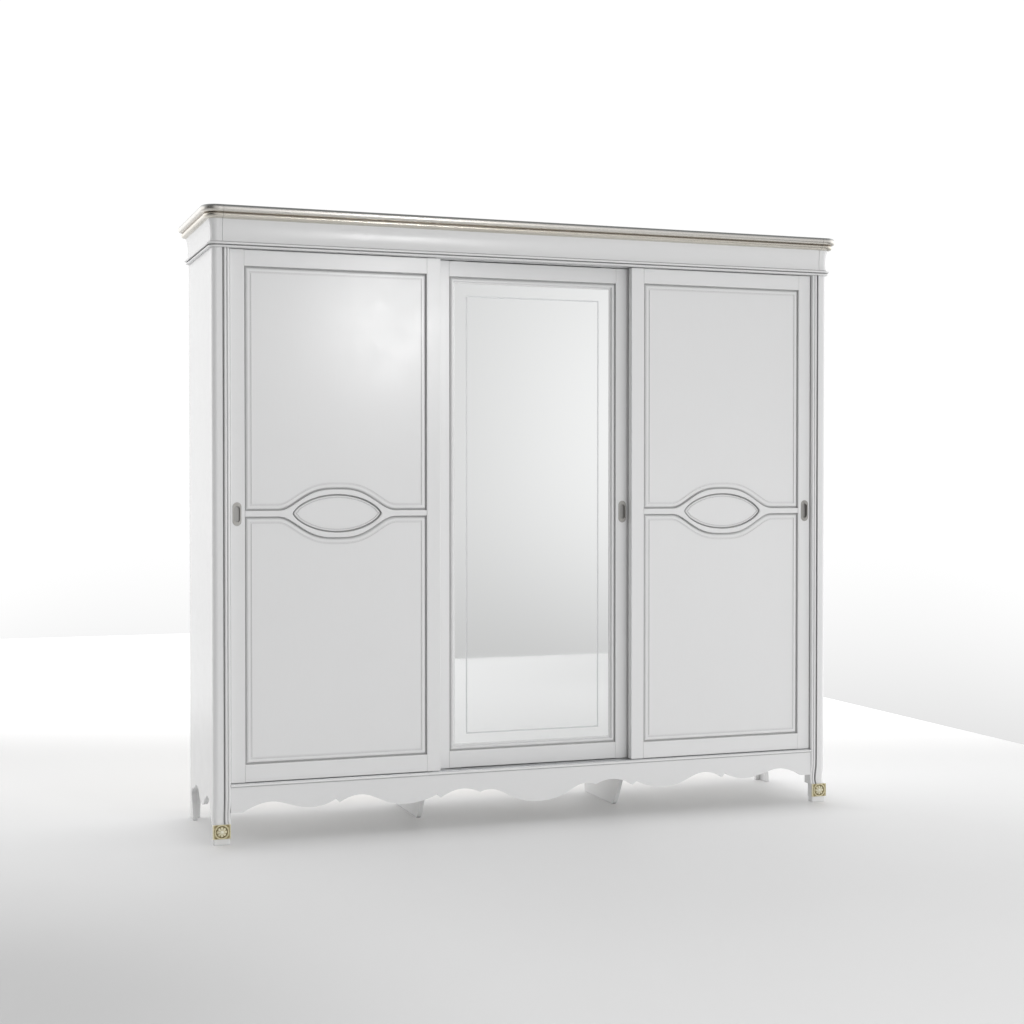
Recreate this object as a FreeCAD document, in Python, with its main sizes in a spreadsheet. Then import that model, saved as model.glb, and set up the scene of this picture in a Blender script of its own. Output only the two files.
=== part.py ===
import FreeCAD, Part

import math
import os
import re
from types import SimpleNamespace

# A three-door sliding armoire. Two panelled doors run on the front track and a mirrored door on the
# rear track. Millimetres; +X to the right, -Y to the front, +Z up; the origin is under the middle of
# the bounding box, on the floor.

DIMENSIONS = {
    # carcass
    "half_width": 1360, "back_face": 318, "side_board": 22, "back_board": 8, "partition_board": 18,
    "partition_at": 450, "partition_front": -170, "side_low": 250, "carcass_top": 2361,
    "board_low": 212, "board_top": 234, "shelf_board": 22, "hat_shelf": 2010,
    # corner posts and feet
    "post_front": -275, "post_back": -216, "post_inner": 1291, "corner_round": 20, "corner_seam": 40, "seam_gap": 1.2,
    "leg_top": 190, "leg_low": 80, "foot_height": 22,
    # base
    "apron_front": -269, "apron_board": 18, "apron_top": 218, "track_front": -262,
    "track_back": -176, "track_bed": 228,
    # doors
    "door_front": -258, "door_gap": 47, "door_thick": 32, "door_low": 238, "door_high": 2336,
    "door_outer": 1289, "door_inner": 426, "middle_half": 432.5, "stile": 58, "middle_stile": 59.5,
    "top_rail": 64, "low_rail": 70, "panel_back": 8, "panel_slab": 9,
    # middle rail of the side doors, with its eye
    "bar_level": 1298, "bar_half": 11.5, "eye_rise": 84.5, "eye_reach": 240,
    "hole_reach": 182, "hole_rise": 77,
    # mirror
    "bead_strip": 27, "mirror_set": 14, "mirror_glass": 5, "backing_board": 8,
    # pulls
    "pull_level": 1297, "pull_wide": 34, "pull_tall": 92, "pull_lip": 1.5, "cup_wide": 27,
    "cup_tall": 66, "cup_deep": 11, "cup_wall": 1.5,
    # running gear
    "roller_spread": 300, "roller_radius": 17, "roller_wide": 8, "axle_radius": 3,
    "axle_play": 0.05, "roller_play": 0.3, "groove_floor": 232, "track_top": 236,
    "guide_spread": 330, "top_track_low": 2341, "header_low": 2338,
    "track_web": 4,
    # crown
    "beads_low": 2339, "frieze_top": 2448, "crown_top": 2500, "crown_reach": 43,
}

doc = FreeCAD.newDocument("Armoire")
sheet = doc.addObject("Spreadsheet::Sheet", "Sizes")
for row, (name, size) in enumerate(DIMENSIONS.items(), start=1):
    sheet.set(f"A{row}", name)
    sheet.set(f"B{row}", str(size))
    sheet.setAlias(f"B{row}", name)
doc.recompute()
d = SimpleNamespace(**{name: float(sheet.get(name)) for name in DIMENSIONS})

DOOR_MIDDLE = (d.door_outer + d.door_inner) / 2
ROLLER_LEVEL = d.groove_floor + d.roller_play + d.roller_radius
SIDE_LANE = d.door_front + d.door_thick / 2
MIDDLE_LANE = SIDE_LANE + d.door_gap
LANES_MIDDLE = (SIDE_LANE + MIDDLE_LANE) / 2
nodes = []


# ---- small helpers -------------------------------------------------------------------------------

def bound(text):
    """Turn an expression in alias names into one that reads the sheet."""
    return re.sub(r"\b([a-z][a-z_]*)\b", r"Sizes.\1", text)


def place(piece, x="0", y="0", z="0"):
    for axis, text in zip("xyz", (x, y, z)):
        piece.setExpression(f"Placement.Base.{axis}", bound(text))


def box(name, x, y, z):
    """A board between two limits on each axis, each limit an expression."""
    piece = doc.addObject("Part::Box", name)
    for size, limits in zip(("Length", "Width", "Height"), (x, y, z)):
        piece.setExpression(size, bound(f"({limits[1]}) - ({limits[0]})"))
    place(piece, x[0], y[0], z[0])
    return piece


def cylinder(name, radius, length, direction, at):
    """A round bar from a point, along a direction; radius, length and point are expressions."""
    piece = doc.addObject("Part::Cylinder", name)
    piece.setExpression("Radius", bound(radius))
    piece.setExpression("Height", bound(length))
    piece.Placement.Rotation = FreeCAD.Rotation(FreeCAD.Vector(0, 0, 1), FreeCAD.Vector(*direction))
    place(piece, *at)
    return piece


def cut(name, base, tool):
    piece = doc.addObject("Part::Cut", name)
    piece.Base = base
    piece.Tool = tool
    return piece


def fuse(name, pieces):
    piece = doc.addObject("Part::MultiFuse", name)
    piece.Shapes = pieces
    return piece


def group(name, pieces):
    piece = doc.addObject("Part::Compound", name)
    piece.Links = pieces
    return piece


def mirrored(name, source):
    piece = doc.addObject("Part::Mirroring", name)
    piece.Source = source
    piece.Base = FreeCAD.Vector(0, 0, 0)
    piece.Normal = FreeCAD.Vector(1, 0, 0)
    return piece


def node(piece):
    nodes.append(piece)
    return piece


def pair(name, source):
    """A left-hand piece and its mirror image as two nodes."""
    node(source)
    node(mirrored(name, source))


def point(spot):
    return FreeCAD.Vector(spot[0], spot[1], 0)


def arc(middle, end):
    return ("arc", middle, end)


def curve(*spots):
    return ("curve", spots)


def outline(start, *steps):
    """Closed outline: each step is a point to draw a line to, an arc or a smooth curve."""
    pieces = []
    here = point(start)
    for step in steps + (start,):
        if step[0] == "arc":
            target = point(step[2])
            pieces.append(Part.Arc(here, point(step[1]), target))
        elif step[0] == "curve":
            target = point(step[1][-1])
            smooth = Part.BSplineCurve()
            smooth.interpolate([here] + [point(spot) for spot in step[1]])
            pieces.append(smooth)
        else:
            target = point(step)
            if here.distanceToPoint(target) < 1e-6:
                continue
            pieces.append(Part.LineSegment(here, target))
        here = target
    return pieces


def loop(spots):
    """A closed smooth curve through points."""
    smooth = Part.BSplineCurve()
    smooth.interpolate([point(spot) for spot in spots], PeriodicFlag=True)
    return [smooth]


def moved(spots, distance, closed=False):
    """Points moved to the left of their direction of travel."""
    shifted = []
    last = len(spots) - 1
    for index, (x, y) in enumerate(spots):
        before = spots[index - 1] if index or closed else spots[index]
        after = spots[(index + 1) % len(spots)] if index < last or closed else spots[index]
        run = after[0] - before[0]
        rise = after[1] - before[1]
        span = math.hypot(run, rise)
        shifted.append((x - distance * rise / span, y + distance * run / span))
    return shifted


def sketch(body, name, role, curves, offset=0.0):
    made = body.newObject("Sketcher::SketchObject", name)
    support = [plane for plane in body.Origin.OriginFeatures if plane.Role == role][0]
    made.AttachmentSupport = [(support, "")]
    made.MapMode = "FlatFace"
    made.AttachmentOffset = FreeCAD.Placement(FreeCAD.Vector(0, 0, offset), FreeCAD.Rotation())
    for piece in curves:
        made.addGeometry(piece, False)
    return made


def pad(body, name, role, curves, length, offset=0.0):
    feature = body.newObject("PartDesign::Pad", name)
    feature.Profile = sketch(body, name + "_outline", role, curves, offset)
    feature.setExpression("Length", bound(length))
    return feature


def solid(name, role, curves, length, x="0", y="0", z="0"):
    """A body padded from one outline. XZ_Plane pads to the front, YZ_Plane to the right, XY up."""
    body = doc.addObject("PartDesign::Body", name)
    pad(body, name + "_pad", role, curves, length)
    place(body, x, y, z)
    return body


def bevel(body, name, low, high, low_offset, high_offset):
    """A slope between two outlines that lie parallel to the front."""
    feature = body.newObject("PartDesign::AdditiveLoft", name)
    feature.Profile = sketch(body, name + "_low", "XZ_Plane", low, low_offset)
    feature.Sections = [sketch(body, name + "_high", "XZ_Plane", high, high_offset)]
    feature.Ruled = True
    return feature


def stadium(middle, level, wide, tall):
    """Upright slot outline with round ends."""
    half = wide / 2
    top = level + tall / 2
    low = level - tall / 2
    return outline(
        (middle - half, low + half), arc((middle, low), (middle + half, low + half)),
        (middle + half, top - half), arc((middle, top), (middle - half, top - half)))


# ---- corner posts, legs and feet -----------------------------------------------------------------

def post_section(set_back=0.0):
    """Left post: inner edge, two beads, a deep groove, a flat and a quarter-round corner.

    Every point moves back in proportion, so that the front comes back by set_back.
    """
    bead = 11.5
    bead_rise = 5.5
    groove_deep = 17
    deep = d.post_back - d.post_front
    valley = d.post_front + bead_rise
    seam = d.corner_seam - d.half_width
    centre = (-d.half_width + d.corner_round, d.post_front + d.corner_round)
    slant = d.corner_round * math.sqrt(0.5)
    first = -d.post_inner
    second = first - bead
    third = second - bead

    def at(x, y):
        return (x, d.post_back - (d.post_back - y) * (1 - set_back / deep))

    return outline(
        at(first, d.post_back), at(first, valley),
        arc(at(first - bead / 2, d.post_front), at(second, valley)),
        arc(at(second - bead / 2, d.post_front), at(third, valley)),
        at(third, d.post_front + groove_deep), at(seam, d.post_front + groove_deep),
        at(seam, d.post_front), at(centre[0], d.post_front),
        arc(at(centre[0] - slant, centre[1] - slant), at(-d.half_width, centre[1])),
        at(-d.half_width, d.post_back))


def foot_outline(left, right, front, back):
    """Plan of a block under the left leg, its four corners rounded."""
    corner = 5
    ease = corner * (1 - math.sqrt(0.5))
    return outline(
        (right - corner, back),
        arc((right - ease, back - ease), (right, back - corner)),
        (right, front + corner), arc((right - ease, front + ease), (right - corner, front)),
        (left + corner, front), arc((left + ease, front + ease), (left, front + corner)),
        (left, back - corner), arc((left + ease, back - ease), (left + corner, back)))


def post():
    """Shaft, waisted leg and foot block in one piece."""
    body = doc.addObject("PartDesign::Body", "post_left")
    pad(body, "post_shaft", "XY_Plane", post_section(), "carcass_top - leg_top", d.leg_top)
    leg = body.newObject("PartDesign::AdditiveLoft", "post_leg")
    leg.Profile = sketch(body, "leg_top_section", "XY_Plane", post_section(), d.leg_top)
    waists = ((160, 2), (128, 8), (103, 11), (d.leg_low, 2))
    leg.Sections = [
        sketch(body, f"leg_section_{index}", "XY_Plane", post_section(set_back), level)
        for index, (level, set_back) in enumerate(waists)]
    block = foot_outline(-d.half_width - 2, -d.post_inner - 3, d.post_front + 1, d.post_back - 20)
    pad(body, "foot_block", "XY_Plane", block, "leg_low - foot_height", d.foot_height)
    return body


def rosette():
    """Square plaque on the front of the foot block, carved with an eight-petal flower."""
    wide = 71
    high = 56
    thick = 6
    centre = -1328.5
    level = 53
    seat = d.post_front + 1
    plaque = box(
        "rosette_plaque", (f"{centre - wide / 2}", f"{centre + wide / 2}"),
        (f"{seat - thick}", f"{seat}"), (f"{level - high / 2}", f"{level + high / 2}"))
    disc = cylinder("rosette_disc", "25", "8", (0, -1, 0), (str(centre), str(seat), str(level)))
    pieces = [plaque, disc]
    petals = 8
    for index in range(petals + 1):
        turn = 2 * math.pi * index / petals
        reach = 15.5 if index < petals else 0
        petal = doc.addObject("Part::Sphere", f"rosette_petal_{index}")
        petal.Radius = 7 if index < petals else 8.5
        petal.Placement.Base = FreeCAD.Vector(
            centre + reach * math.cos(turn), seat - thick, level + reach * math.sin(turn))
        pieces.append(petal)
    blank = fuse("rosette_blank", pieces)
    behind = box(
        "rosette_behind", (f"{centre - wide}", f"{centre + wide}"), (f"{seat}", f"{seat + 20}"),
        (f"{level - high}", f"{level + high}"))
    return cut("rosette_left", blank, behind)


pair("post_right", post())
pair("rosette_right", rosette())
front_foot = solid(
    "front_foot_left", "XY_Plane",
    foot_outline(-d.half_width + 1, -d.post_inner - 5, d.post_front + 2, d.post_back - 22),
    "foot_height")
node(group("front_feet", [front_foot, mirrored("front_foot_right", front_foot)]))


# ---- carcass -------------------------------------------------------------------------------------

def carcass():
    pair("side_right", box(
        "side_left", ("-half_width", "side_board - half_width"), ("post_back", "back_face"),
        ("side_low", "carcass_top")))
    partition = box(
        "partition_left", ("-partition_at - partition_board / 2", "partition_board / 2 - partition_at"),
        ("partition_front", "back_face - back_board"), ("board_top", "carcass_top"))
    node(group("partitions", [partition, mirrored("partition_right", partition)]))
    opening = ("-post_inner", "post_inner")
    node(group("header_rail", [
        box("header_board", opening, ("post_front", "track_front"), ("header_low", "carcass_top")),
        box("lane_divider", opening, (f"{LANES_MIDDLE - 4.5}", f"{LANES_MIDDLE + 1.5}"),
            ("header_low", "carcass_top - track_web"))]))
    inner = "half_width - side_board"
    spans = ((f"-({inner})", "-partition_at"), ("-partition_at", "partition_at"),
             ("partition_at", inner))
    backs = [
        box(f"back_{index}", span, ("back_face - back_board", "back_face"), ("board_low", "carcass_top"))
        for index, span in enumerate(spans)]
    node(group("back_panels", backs))
    node(box(
        "top_board", ("16 - half_width", "half_width - 16"), ("post_front + 16", "back_face"),
        ("carcass_top", "carcass_top + shelf_board")))


def bottom_board():
    """Full-width board, notched round the posts and rebated under the track."""
    side = d.half_width - d.apron_board
    front = d.apron_front + d.apron_board
    back = d.back_face - d.back_board
    body = doc.addObject("PartDesign::Body", "bottom_blank")
    pad(body, "bottom_pad", "XY_Plane", outline(
        (-d.post_inner, front), (d.post_inner, front), (d.post_inner, d.post_back),
        (side, d.post_back), (side, back), (-side, back), (-side, d.post_back),
        (-d.post_inner, d.post_back)), "board_top - board_low", d.board_low)
    place(body)
    rebate = box(
        "bottom_rebate", ("-half_width", "half_width"), ("post_front", "track_back"),
        ("track_bed", "board_top + 1"))
    return cut("bottom_board", body, rebate)


carcass()
node(bottom_board())


# ---- base: aprons, moulding and rear feet --------------------------------------------------------

def front_apron():
    """Scalloped board between the front legs, the same on both halves."""
    lobes = (
        ((60, 94), (100, 106), (145, 128), (180, 145), (210, 151), (258, 142)),
        ((295, 156), (334, 161), (385, 151), (429, 130)),
        ((446, 144),),
        ((505, 123), (580, 114), (655, 127), (710, 151), (761, 164), (815, 156), (853, 138)),
        ((868, 154),),
        ((912, 134), (962, 126), (1040, 138), (1130, 159), (1195, 146), (1243, 123)),
        ((d.post_inner, 123),))
    centre = (0, 88)
    right = []
    left = []
    here = centre
    for lobe in lobes:
        spots = [here] + list(lobe)
        back = [(-x, level) for x, level in reversed(spots)]
        right.append(curve(*spots[1:]) if len(lobe) > 1 else spots[-1])
        left.insert(0, curve(*back[1:]) if len(lobe) > 1 else back[-1])
        here = lobe[-1]
    steps = right + [(d.post_inner, d.apron_top), (-d.post_inner, d.apron_top),
                     (-d.post_inner, 123)] + left
    return solid("apron_front", "XZ_Plane", outline(centre, *steps), "apron_board",
                 y="apron_front + apron_board")


def side_apron():
    """Scalloped board from the front leg to the back, where it comes down as the rear foot."""
    return solid("side_apron_left", "YZ_Plane", outline(
        (d.post_back, d.side_low), (d.back_face, d.side_low), (d.back_face, 0), (243, 0),
        curve((245, 25), (258, 60), (280, 92), (287, 112), (272, 129), (240, 138), (215, 140)),
        curve((192, 154), (150, 165), (115, 161), (87, 149)),
        curve((60, 125), (10, 112), (-35, 124), (-58, 141)),
        curve((-90, 160), (-135, 170), (-170, 160), (-195, 125), (-207, 100), (d.post_back, 84))),
        "apron_board", x="-half_width")


def base_moulding():
    """Ledge in front of the doors, with a rounded nose over a deep quirk and a fillet."""
    inner = d.apron_front + d.apron_board
    front = d.post_front
    quirk = d.apron_front + 4
    return solid("base_moulding", "YZ_Plane", outline(
        (inner, d.apron_top), (inner, d.track_bed), (d.track_front, d.track_bed),
        (d.track_front, d.board_top), (front + 3, d.board_top),
        arc((front + 0.9, d.board_top - 0.9), (front, d.board_top - 3)), (front, d.board_top - 8),
        (quirk, d.board_top - 8), (quirk, d.apron_top + 4), (d.apron_front, d.apron_top + 4),
        (d.apron_front, d.apron_top)),
        "2 * post_inner", x="-post_inner")


def rear_wing():
    """Wing of the left rear corner foot, seen from the front under the base."""
    outer = -d.half_width + d.apron_board
    return solid("rear_foot_left", "XZ_Plane", outline(
        (outer, 0), (outer + 20, 0),
        curve((outer + 21, 40), (outer + 24, 80), (outer + 33, 115), (outer + 58, 150),
              (outer + 88, 180), (outer + 112, d.board_low)),
        (outer, d.board_low)), "apron_board", y="back_face")


def middle_foot():
    """Plate under a partition; its front edge slopes back to the floor."""
    return solid("middle_foot_left", "YZ_Plane", outline(
        (-11, 0), curve((-38, 22), (-61, 60), (-82, 96), (-96, 127), (-112, d.board_low)),
        (d.back_face - d.back_board, d.board_low), (d.back_face - d.back_board, 0)),
        "partition_board", x="-partition_at - partition_board / 2")


node(front_apron())
pair("side_apron_right", side_apron())
node(base_moulding())
wing = rear_wing()
node(group("rear_feet", [wing, mirrored("rear_foot_right", wing)]))
plate = middle_foot()
node(group("middle_feet", [plate, mirrored("middle_foot_right", plate)]))


# ---- crown ---------------------------------------------------------------------------------------

def crown_run(name, section):
    """A moulding swept round the left side, the front and the right side."""
    side = d.half_width
    front = d.post_front
    turn = d.corner_round
    slant = turn * (1 - math.sqrt(0.5))
    path = outline(
        (-side, d.back_face), (-side, front + turn),
        arc((-side + slant, front + slant), (-side + turn, front)), (side - turn, front),
        arc((side - slant, front + slant), (side, front + turn)), (side, d.back_face))[:-1]
    return swept(name, section, path, d.back_face)


def swept(name, section, path, start):
    """A section on the left side's face carried along a path that starts at a depth."""
    body = doc.addObject("PartDesign::Body", name)
    route = sketch(body, name + "_path", "XY_Plane", path)
    profile = sketch(body, name + "_section", "XZ_Plane", section, -start)
    pipe = body.newObject("PartDesign::AdditivePipe", name + "_pipe")
    pipe.Profile = profile
    pipe.Spine = (route, [])
    return body


def beads_section():
    """Two stacked rolls on the outer face of the carcass, the upper one prouder."""
    face = -d.half_width
    low = d.beads_low
    return outline(
        (face, low), (face - 8, low), arc((face - 12.5, low + 4), (face - 8, low + 8)),
        (face - 2, low + 8.5), (face - 2, low + 10.5), (face - 12, low + 11),
        arc((face - 18, low + 15), (face - 12, low + 19)), (face - 2, low + 19.5),
        (face - 2, d.carcass_top), (face, d.carcass_top))


def cap_section():
    """Gilded cap: lip, torus, quirk, silvered band and a rounded top edge."""
    face = -d.half_width
    low = d.frieze_top
    top = d.crown_top
    reach = face - d.crown_reach
    return outline(
        (face + 16, low), (face - 12, low), (face - 19, low + 2),
        arc((face - 29.5, low + 8), (face - 29, low + 19)), (face - 27, low + 21.5),
        (face - 31, low + 23.5), arc((reach + 3.2, low + 27), (reach, low + 33)), (reach, top - 12),
        arc((reach + 3.5, top - 3.5), (reach + 12, top)), (face + 16, top))


def frieze_face(origin, sign):
    """Outer face of the frieze, from its foot to its flared top, measured out from an origin."""
    low = d.carcass_top
    top = d.frieze_top
    spots = ((7, low), (4.8, low + 10), (4, low + 40), (5.5, low + 62), (9, low + 78), (12, top))
    return [(origin + sign * out, level) for out, level in spots]


def frieze_outline(origin, sign):
    face = frieze_face(origin, sign)
    inner = origin - sign * 14
    return outline((inner, d.carcass_top), face[0], curve(*face[1:]), (inner, d.frieze_top))


def crown_corner():
    """Rounded block between the front and side frieze boards."""
    side = d.half_width
    front = d.post_front
    turn = d.corner_round
    slant = turn * (1 - math.sqrt(0.5))
    path = outline(
        (-side, front + d.corner_seam), (-side, front + turn),
        arc((-side + slant, front + slant), (-side + turn, front)),
        (-side + d.corner_seam, front))[:-1]
    return swept("crown_corner_left", frieze_outline(-side, -1), path, front + d.corner_seam)


node(crown_run("crown_beads", beads_section()))
node(crown_run("crown_cap", cap_section()))
node(solid("frieze_front", "YZ_Plane", frieze_outline(d.post_front, -1),
           "2 * (half_width - corner_seam - seam_gap)", x="corner_seam + seam_gap - half_width"))
frieze_side = solid("frieze_side_left", "XZ_Plane", frieze_outline(-d.half_width, -1),
                    "back_face - post_front - corner_seam - seam_gap", y="back_face")
node(group("frieze_sides", [frieze_side, mirrored("frieze_side_right", frieze_side)]))
corner = crown_corner()
node(group("crown_corners", [corner, mirrored("crown_corner_right", corner)]))


# ---- fittings inside -----------------------------------------------------------------------------

def shelves():
    inner = "half_width - side_board"
    wall = "partition_at + partition_board / 2"
    depth = ("partition_front", "back_face - back_board")
    hat = ("hat_shelf", "hat_shelf + shelf_board")
    boards = [
        box("hat_shelf_left", (f"-({inner})", f"-({wall})"), depth, hat),
        box("hat_shelf_right", (wall, inner), depth, hat)]
    half = "partition_at - partition_board / 2"
    for index, level in enumerate(("700", "1150", "1600", "hat_shelf")):
        boards.append(box(f"centre_shelf_{index}", (f"-({half})", half), depth,
                          (level, f"{level} + shelf_board")))
    node(group("shelves", boards))


def shelf_pins():
    """Short pins under the shelves, four to a shelf."""
    depths = ("partition_front + 60", "back_face - 70")
    side = "half_width - side_board"
    outer = "partition_at + partition_board / 2"
    inner = "partition_at - partition_board / 2"
    seats = [(wall, facing, "hat_shelf") for wall, facing in (
        (f"-({side})", 1), (f"-({outer})", -1), (outer, 1), (side, -1))]
    for level in ("700", "1150", "1600", "hat_shelf"):
        seats.append((f"-({inner})", 1, level))
        seats.append((inner, -1, level))
    pins = [
        cylinder(f"shelf_pin_{index}_{near}", "3", "10", (facing, 0, 0), (wall, depth, f"{level} - 3"))
        for index, (wall, facing, level) in enumerate(seats) for near, depth in enumerate(depths)]
    node(group("shelf_pins", pins))


def hanging_rails():
    """One round rail in each side bay, with a flange at each end."""
    flange = 5
    start = "side_board - half_width"
    length = "half_width - side_board - partition_at - partition_board / 2"
    level = "hat_shelf - 55"
    rail = cylinder("hanging_rail_left", "12.5", f"{length} - 2 * {flange}", (1, 0, 0),
                    (f"{start} + {flange}", "70", level))
    ends = [
        cylinder("rail_flange_outer", "22", str(flange), (1, 0, 0), (start, "70", level)),
        cylinder("rail_flange_inner", "22", str(flange), (1, 0, 0),
                 (f"{start} + {length} - {flange}", "70", level))]
    left = [rail] + ends
    node(group("hanging_rails", left + [mirrored(f"{piece.Name}_right", piece) for piece in left]))


shelves()
shelf_pins()
hanging_rails()


# ---- tracks --------------------------------------------------------------------------------------

def bottom_track():
    """Flat extrusion with one running groove for each lane."""
    half = 5
    steps = [(d.track_front, d.track_top)]
    for lane in (SIDE_LANE, MIDDLE_LANE):
        steps += [(lane - half, d.track_top), (lane - half, d.groove_floor),
                  (lane + half, d.groove_floor), (lane + half, d.track_top)]
    steps += [(d.track_back, d.track_top), (d.track_back, d.track_bed)]
    return solid("bottom_track", "YZ_Plane", outline((d.track_front, d.track_bed), *steps),
                 "2 * post_inner", x="-post_inner")


def top_track():
    """Comb-shaped extrusion under the top board, with a channel for each lane's guides."""
    half = 4
    fin = 2
    web = d.carcass_top - d.track_web
    steps = []
    for lane in (SIDE_LANE, MIDDLE_LANE):
        steps += [
            (lane - half - fin, web), (lane - half - fin, d.top_track_low),
            (lane - half, d.top_track_low), (lane - half, web), (lane + half, web),
            (lane + half, d.top_track_low), (lane + half + fin, d.top_track_low),
            (lane + half + fin, web)]
    steps += [(d.track_back, web), (d.track_back, d.carcass_top), (d.track_front, d.carcass_top)]
    return solid("top_track", "YZ_Plane", outline((d.track_front, web), *steps),
                 "2 * post_inner", x="-post_inner")


node(bottom_track())
node(top_track())


# ---- door running gear ---------------------------------------------------------------------------

def spots_across(middle, spread):
    return (f"{middle} - {spread}", f"{middle} + {spread}")


def roller_slots(door, middle, lane):
    slots = [
        box(f"{door}_slot_{index}", (f"{spot} - 26", f"{spot} + 26"), (f"{lane} - 8", f"{lane} + 8"),
            ("door_low - 1", "door_low + 46"))
        for index, spot in enumerate(spots_across(middle, "roller_spread"))]
    return group(f"{door}_slots", slots)


def roller_brackets(door, middle, lane):
    """Two steel forks in the bottom rail, each with its fixed axle."""
    forks = []
    for index, spot in enumerate(spots_across(middle, "roller_spread")):
        span = (f"{spot} - 12", f"{spot} + 12")
        height = ("door_low + 3", "door_low + 43")
        forks.append(fuse(f"{door}_fork_{index}", [
            box(f"{door}_fork_top_{index}", (f"{spot} - 22", f"{spot} + 22"),
                (f"{lane} - 8", f"{lane} + 8"), ("door_low + 43", "door_low + 46")),
            box(f"{door}_cheek_near_{index}", span, (f"{lane} - 8", f"{lane} - 6"), height),
            box(f"{door}_cheek_far_{index}", span, (f"{lane} + 6", f"{lane} + 8"), height),
            cylinder(f"{door}_axle_{index}", "axle_radius", "16", (0, 1, 0),
                     (spot, f"{lane} - 8", str(ROLLER_LEVEL)))]))
    node(group(f"{door}_roller_brackets", forks))


def rollers(door, middle, lane):
    """Two nylon wheels, each free on its axle."""
    for side, spot in zip(("left", "right"), spots_across(middle, "roller_spread")):
        start = (spot, f"{lane} - roller_wide / 2", str(ROLLER_LEVEL))
        tyre = cylinder(f"{door}_tyre_{side}", "roller_radius", "roller_wide", (0, 1, 0), start)
        bore = cylinder(f"{door}_bore_{side}", "axle_radius + axle_play", "roller_wide", (0, 1, 0),
                        start)
        node(cut(f"{door}_wheel_{side}", tyre, bore))


def top_guides(door, middle, lane):
    """Two plastic guides on the door's top edge, each with a fin up in the track."""
    guides = []
    for index, spot in enumerate(spots_across(middle, "guide_spread")):
        guides.append(fuse(f"{door}_guide_{index}", [
            box(f"{door}_guide_plate_{index}", (f"{spot} - 25", f"{spot} + 25"),
                (f"{lane} - 12", f"{lane} + 12"), ("door_high", "door_high + 2.5")),
            box(f"{door}_guide_fin_{index}", (f"{spot} - 15", f"{spot} + 15"),
                (f"{lane} - 3", f"{lane} + 3"), ("door_high + 2.5", "door_high + 15"))]))
    node(group(f"{door}_top_guides", guides))


def running_gear(door, middle, lane):
    roller_brackets(door, middle, lane)
    rollers(door, middle, lane)
    top_guides(door, middle, lane)


# ---- door frames ---------------------------------------------------------------------------------

EDGE = 2.5
EASE = EDGE * (1 - math.sqrt(0.5))


def stile(name, left, right, front):
    """Upright with eased front edges."""
    back = front + d.door_thick
    return solid(name, "XY_Plane", outline(
        (left, back), (left, front + EDGE), arc((left + EASE, front + EASE), (left + EDGE, front)),
        (right - EDGE, front), arc((right - EASE, front + EASE), (right, front + EDGE)),
        (right, back)), "door_high - door_low", z="door_low")


def rail(name, low, high, front, left, length):
    """Crosspiece with eased front edges."""
    back = front + d.door_thick
    return solid(name, "YZ_Plane", outline(
        (back, low), (front + EDGE, low), arc((front + EASE, low + EASE), (front, low + EDGE)),
        (front, high - EDGE), arc((front + EASE, high - EASE), (front + EDGE, high)),
        (back, high)), length, x=left)


def pull_mortise(door, middle, front):
    return solid(f"{door}_pull_mortise", "XZ_Plane",
                 stadium(middle, d.pull_level, d.cup_wide, d.cup_tall), "cup_deep",
                 y=f"{front} + cup_deep")


def pull(name, middle, front):
    """Flush pull: a stadium plate with a finger recess and a screw at each end."""
    recess = 24
    plate = solid(name + "_plate", "XZ_Plane",
                  stadium(middle, d.pull_level, d.pull_wide, d.pull_tall), "pull_lip", y=front)
    cup = solid(name + "_cup", "XZ_Plane",
                stadium(middle, d.pull_level, d.cup_wide, d.cup_tall), "cup_deep",
                y=f"{front} + cup_deep")
    hollow = solid(name + "_hollow", "XZ_Plane",
                   stadium(middle, d.pull_level, recess, d.cup_tall - 3),
                   "cup_deep + pull_lip", y=f"{front} + cup_deep - cup_wall")
    screws = [
        cylinder(f"{name}_screw_{index}", "4.5", "2.4", (0, -1, 0),
                 (str(middle), front, str(d.pull_level + sign * 38.5)))
        for index, sign in enumerate((-1, 1))]
    return cut(name, fuse(name + "_blank", [plate, cup] + screws), hollow)


def door_frame(door, outer, inner, stile_wide, front):
    """Two stiles, the top rail and the bottom rail of a door between two edges."""
    left = outer + stile_wide
    length = inner - outer - 2 * stile_wide
    stiles = [
        stile(f"{door}_stile_left", outer, left, front),
        stile(f"{door}_stile_right", inner - stile_wide, inner, front)]
    top = rail(f"{door}_rail_top", d.door_high - d.top_rail, d.door_high, front, str(left), str(length))
    low = rail(f"{door}_rail_low", d.door_low, d.door_low + d.low_rail, front, str(left), str(length))
    return stiles, top, low


# ---- side doors ----------------------------------------------------------------------------------

BEAD = (1.5, 9, 13)


def eye_bump(sign, inset=0.0):
    """Half of the eye's outline above or below the bar, as points from left to right."""
    steps = 16
    spots = []
    for index in range(steps + 1):
        u = d.eye_reach * (2 * index / steps - 1)
        rise = d.eye_rise * math.cos(math.pi / 2 * (abs(u) / d.eye_reach) ** 1.48) ** 2
        spots.append((u - DOOR_MIDDLE, d.bar_level + sign * (d.bar_half + rise)))
    shifted = moved(spots, sign * inset)
    level = d.bar_level + sign * (d.bar_half + inset)
    shifted[0] = (spots[0][0], level)
    shifted[-1] = (spots[-1][0], level)
    return shifted


def eye_hole(inset=0.0):
    """The almond opening in the middle rail."""
    steps = 28
    spots = []
    for index in range(steps):
        turn = 2 * math.pi * index / steps
        rise = abs(math.cos(turn)) ** 1.35 * math.copysign(1, math.cos(turn))
        spots.append((d.hole_reach * math.sin(turn) - DOOR_MIDDLE, d.bar_level + d.hole_rise * rise))
    return moved(spots, -inset, closed=True)


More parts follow.
